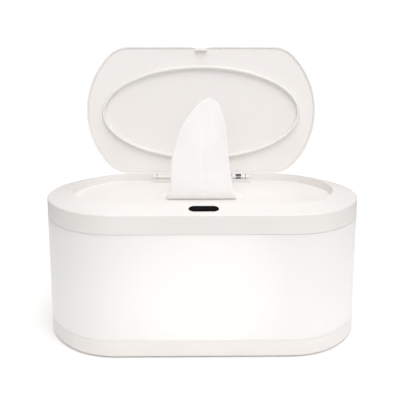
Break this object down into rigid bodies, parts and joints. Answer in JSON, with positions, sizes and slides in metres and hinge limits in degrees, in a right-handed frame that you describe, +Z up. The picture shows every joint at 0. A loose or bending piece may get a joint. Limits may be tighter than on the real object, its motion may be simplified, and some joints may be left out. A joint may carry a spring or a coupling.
{
  "type": "baby wipe warmer",
  "caption": "Oval baby wipe warmer: translucent glowing body on a base pan, heated tub, lift-off cover with a wipe in its slot, and a sprung flip lid with a release button.",
  "frame": {"origin": "centre of the underside, on the surface that the warmer stands on", "axes": "+Z up, the front with the release button faces -Y, +X to the right along the long side"},
  "size_m": [0.255, 0.1685, 0.2295],
  "materials": {
    "base_plastic": "fine satin moulded ABS, warm white",
    "glow_plastic": "translucent milky polypropylene, lit from inside",
    "cover_plastic": "satin-gloss moulded ABS, warm white",
    "tub_plastic": "moulded polypropylene, white",
    "seal_rubber": "matt white silicone",
    "foot_rubber": "matt grey rubber",
    "button_plastic": "gloss black ABS",
    "latch_plastic": "natural acetal",
    "steel": "bright zinc-plated steel",
    "aluminium": "rolled sheet",
    "heater_foil": "amber polyimide film",
    "insulation_felt": "white glass-fibre felt",
    "circuit_board": "green solder mask on glass epoxy",
    "component_plastic": "moulded black component bodies",
    "led": "clear epoxy over warm phosphor",
    "lead_plastic": "PVC wire insulation",
    "wipe_cloth": "white spunlace non-woven"
  },
  "bodies": {
    "root": {"base_pan": "base_plastic", "foot_pads": "foot_rubber", "base_screws": "steel", "control_board": "circuit_board", "board_parts": "component_plastic", "board_screws": "steel", "power_inlet": "component_plastic", "light_switch": "component_plastic", "led_board": "circuit_board", "led_chips": "led", "heater_leads": "lead_plastic", "led_leads": "lead_plastic", "glow_shell": "glow_plastic", "inner_tub": "tub_plastic", "heater_plate": "aluminium", "heater_film": "heater_foil", "insulation_pad": "insulation_felt", "heater_clamp": "aluminium", "clamp_screws": "steel", "thermostat": "component_plastic", "thermal_fuse": "component_plastic", "wipe_stack": "wipe_cloth"},
    "cover": {"top_cover": "cover_plastic", "cover_seal": "seal_rubber", "slot_grommet": "seal_rubber", "hinge_pins": "steel", "lid_spring": "steel", "latch_housing": "latch_plastic", "latch_screws": "steel", "button_spring": "steel", "wipe": "wipe_cloth"},
    "lid": {"lid_outer": "cover_plastic", "lid_inner": "cover_plastic", "lid_seal": "seal_rubber"},
    "release_button": {"release_button": "button_plastic"},
    "release_catch": {"release_catch": "latch_plastic"},
    "light_button": {"light_button": "cover_plastic"}
  },
  "joints": [
    {"name": "cover_lift", "type": "slide", "parent": "root", "child": "cover", "axis": [0, 0, 1], "range_m": [0, 0.09]},
    {"name": "lid_hinge", "type": "hinge", "parent": "cover", "child": "lid", "pos_m": [0, 0.061, 0.1135], "axis": [1, 0, 0], "range_deg": [0, 101.4], "stiffness_Nm_per_rad": 0.05, "springref_deg": -28.65, "deforming": ["wipe"]},
    {"name": "release_press", "type": "slide", "parent": "cover", "child": "release_button", "axis": [0, 0, -1], "range_m": [0, 0.0012], "stiffness_N_per_m": 400, "springref_m": -0.002, "deforming": ["button_spring"]},
    {"name": "catch_slide", "type": "slide", "parent": "cover", "child": "release_catch", "axis": [0, -1, 0], "range_m": [0, 0.0012]},
    {"name": "light_press", "type": "slide", "parent": "root", "child": "light_button", "axis": [0, -1, 0], "range_m": [0, 0.0006], "stiffness_N_per_m": 500, "springref_m": -0.0008}
  ],
  "couplings": [
    {"joint": "catch_slide", "follows": "release_press", "ratio": 1}
  ]
}
